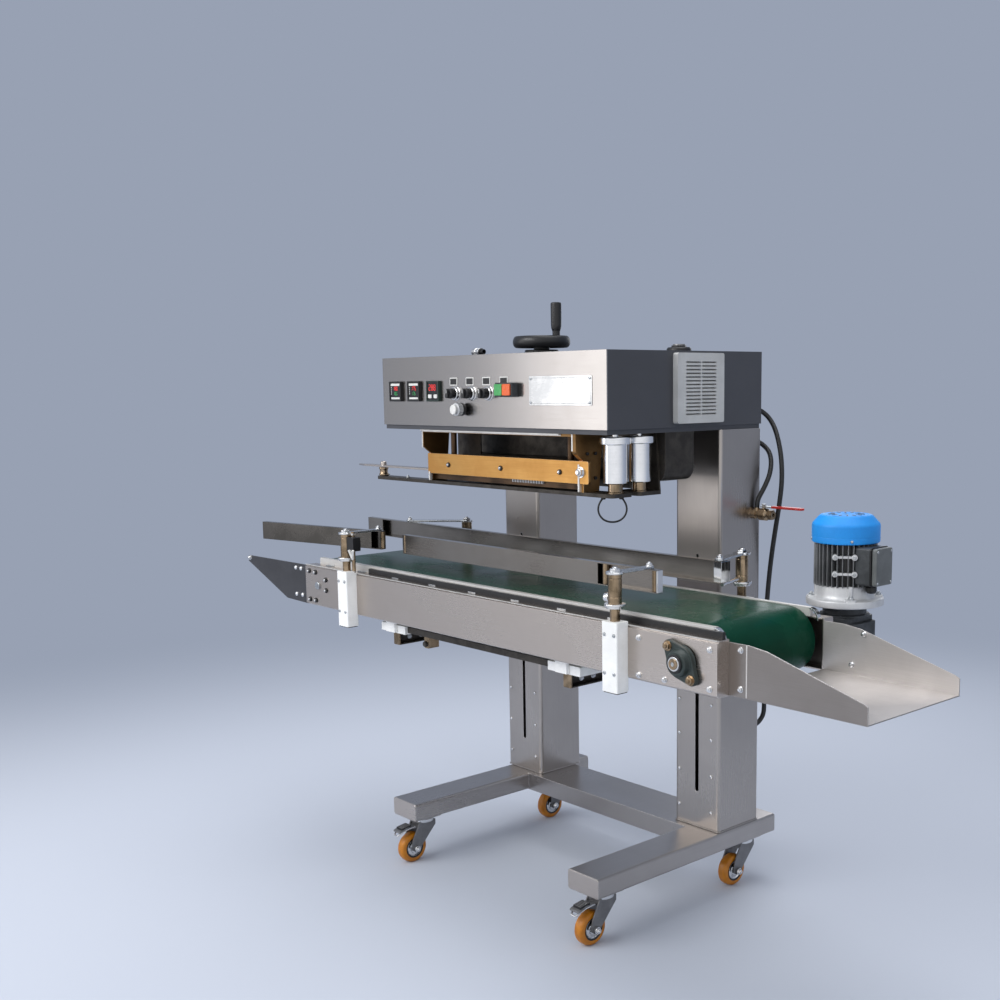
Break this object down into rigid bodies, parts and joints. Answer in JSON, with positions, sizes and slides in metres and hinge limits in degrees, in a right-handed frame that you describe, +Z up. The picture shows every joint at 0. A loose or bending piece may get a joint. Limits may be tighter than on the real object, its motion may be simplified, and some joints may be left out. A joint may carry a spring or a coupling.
{
  "type": "continuous band sealer",
  "caption": "Floor-standing continuous band sealer: sealing head on two columns over a height-adjustable belt conveyor with guide rails and chute, on swivel casters.",
  "frame": {"origin": "on the floor under the middle of the machine's overall box", "axes": "+X the way the belt carries bags, +Y to the back, +Z up"},
  "size_m": [2.008, 0.684, 1.377],
  "materials": {
    "painted_steel": "satin dark grey enamel",
    "stainless": "brushed",
    "light_panel": "fine brushed",
    "zinc": "bright zinc plated",
    "aluminium": "turned",
    "yellow_zinc": "yellow passivated steel",
    "black_plastic": "moulded",
    "white_nylon": "machined nylon",
    "grey_plastic": "moulded",
    "white_plastic": "moulded",
    "green_belt": "smooth PVC",
    "dark_steel": "blackened",
    "tread": "amber polyurethane",
    "bearing_green": "green grey enamel",
    "motor_paint": "blue enamel",
    "red_grip": "dipped vinyl",
    "hose_black": "smooth"
  },
  "bodies": {
    "frame": {"base_frame": "stainless", "column_left": "stainless", "column_right": "stainless", "head_housing": "painted_steel", "head_front_panel": "light_panel", "filter_grille": "grey_plastic", "controller_left": "black_plastic", "controller_middle": "black_plastic", "controller_right": "black_plastic", "push_button": "black_plastic", "top_coupling": "zinc", "cable_gland": "black_plastic", "seal_bracket": "yellow_zinc", "seal_lower_plate": "dark_steel", "seal_block": "dark_steel", "infeed_guide": "stainless", "rear_drive_housing": "dark_steel", "valve_body": "yellow_zinc", "hose_outer": "hose_black", "hose_inner": "hose_black", "cable_loop": "hose_black"},
    "conveyor": {"conveyor_side_front": "stainless", "conveyor_side_rear": "stainless", "slider_bed": "stainless", "conveyor_belt": "green_belt", "tail_roller": "zinc", "drive_roller": "zinc", "infeed_wing": "painted_steel", "discharge_chute": "stainless", "flange_bearing": "bearing_green", "post_block_left": "white_nylon", "post_block_right": "white_nylon", "guide_post_left_front": "yellow_zinc", "guide_post_left_rear": "yellow_zinc", "guide_post_right_front": "yellow_zinc", "guide_post_right_rear": "yellow_zinc", "guide_rail_infeed": "stainless", "guide_rail_front": "stainless", "guide_rail_rear": "stainless", "conveyor_support_left": "dark_steel", "conveyor_support_right": "dark_steel", "gearbox": "aluminium", "motor": "motor_paint"},
    "handwheel": {"handwheel": "black_plastic"},
    "selector_left": {"selector_left": "black_plastic"},
    "selector_middle": {"selector_middle": "black_plastic"},
    "selector_right": {"selector_right": "black_plastic"},
    "regulator": {"regulator_knob": "white_plastic"},
    "press_front": {"press_roller_front": "aluminium"},
    "press_rear": {"press_roller_rear": "aluminium"},
    "infeed_roller": {"infeed_roller": "yellow_zinc"},
    "valve_lever": {"valve_lever": "red_grip"},
    "fork_left_front": {"caster_fork_left_front": "painted_steel"},
    "wheel_left_front": {"caster_wheel_left_front": "tread"},
    "fork_left_back": {"caster_fork_left_back": "painted_steel"},
    "wheel_left_back": {"caster_wheel_left_back": "tread"},
    "fork_right_front": {"caster_fork_right_front": "painted_steel"},
    "wheel_right_front": {"caster_wheel_right_front": "tread"},
    "fork_right_back": {"caster_fork_right_back": "painted_steel"},
    "wheel_right_back": {"caster_wheel_right_back": "tread"}
  },
  "joints": [
    {"name": "conveyor_lift", "type": "slide", "parent": "frame", "child": "conveyor", "axis": [0, 0, 1], "range_m": [-0.32, 0.06]},
    {"name": "swivel_left_front", "type": "hinge", "parent": "frame", "child": "fork_left_front", "pos_m": [-0.3665, -0.19, 0.105], "axis": [0, 0, 1], "continuous": true},
    {"name": "roll_left_front", "type": "hinge", "parent": "fork_left_front", "child": "wheel_left_front", "pos_m": [-0.3665, -0.226, 0.0375], "axis": [1, 0, 0], "continuous": true},
    {"name": "swivel_left_back", "type": "hinge", "parent": "frame", "child": "fork_left_back", "pos_m": [-0.3665, 0.275, 0.105], "axis": [0, 0, 1], "continuous": true},
    {"name": "roll_left_back", "type": "hinge", "parent": "fork_left_back", "child": "wheel_left_back", "pos_m": [-0.3665, 0.239, 0.0375], "axis": [1, 0, 0], "continuous": true},
    {"name": "swivel_right_front", "type": "hinge", "parent": "frame", "child": "fork_right_front", "pos_m": [0.2875, -0.19, 0.105], "axis": [0, 0, 1], "continuous": true},
    {"name": "roll_right_front", "type": "hinge", "parent": "fork_right_front", "child": "wheel_right_front", "pos_m": [0.2875, -0.226, 0.0375], "axis": [1, 0, 0], "continuous": true},
    {"name": "swivel_right_back", "type": "hinge", "parent": "frame", "child": "fork_right_back", "pos_m": [0.2875, 0.275, 0.105], "axis": [0, 0, 1], "continuous": true},
    {"name": "roll_right_back", "type": "hinge", "parent": "fork_right_back", "child": "wheel_right_back", "pos_m": [0.2875, 0.239, 0.0375], "axis": [1, 0, 0], "continuous": true},
    {"name": "handwheel_turn", "type": "hinge", "parent": "frame", "child": "handwheel", "pos_m": [-0.004, -0.085, 1.28], "axis": [0, 0, 1], "continuous": true},
    {"name": "selector_left_turn", "type": "hinge", "parent": "frame", "child": "selector_left", "pos_m": [-0.168, -0.215, 1.171], "axis": [0, 1, 0], "range_deg": [0, 90]},
    {"name": "selector_middle_turn", "type": "hinge", "parent": "frame", "child": "selector_middle", "pos_m": [-0.108, -0.215, 1.171], "axis": [0, 1, 0], "range_deg": [0, 90]},
    {"name": "selector_right_turn", "type": "hinge", "parent": "frame", "child": "selector_right", "pos_m": [-0.048, -0.215, 1.171], "axis": [0, 1, 0], "range_deg": [0, 90]},
    {"name": "regulator_turn", "type": "hinge", "parent": "frame", "child": "regulator", "pos_m": [-0.136, -0.22, 1.135], "axis": [0, 1, 0], "range_deg": [-135, 135]},
    {"name": "press_front_roll", "type": "hinge", "parent": "frame", "child": "press_front", "pos_m": [0.288, -0.142, 1.03], "axis": [0, 0, 1], "continuous": true},
    {"name": "press_rear_roll", "type": "hinge", "parent": "frame", "child": "press_rear", "pos_m": [0.288, -0.071, 1.03], "axis": [0, 0, 1], "continuous": true},
    {"name": "infeed_roll", "type": "hinge", "parent": "frame", "child": "infeed_roller", "pos_m": [-0.538, -0.16, 0.975], "axis": [0, 0, 1], "continuous": true},
    {"name": "valve_turn", "type": "hinge", "parent": "frame", "child": "valve_lever", "pos_m": [0.357, 0.262, 0.91], "axis": [0, 0, -1], "range_deg": [0, 90]}
  ]
}
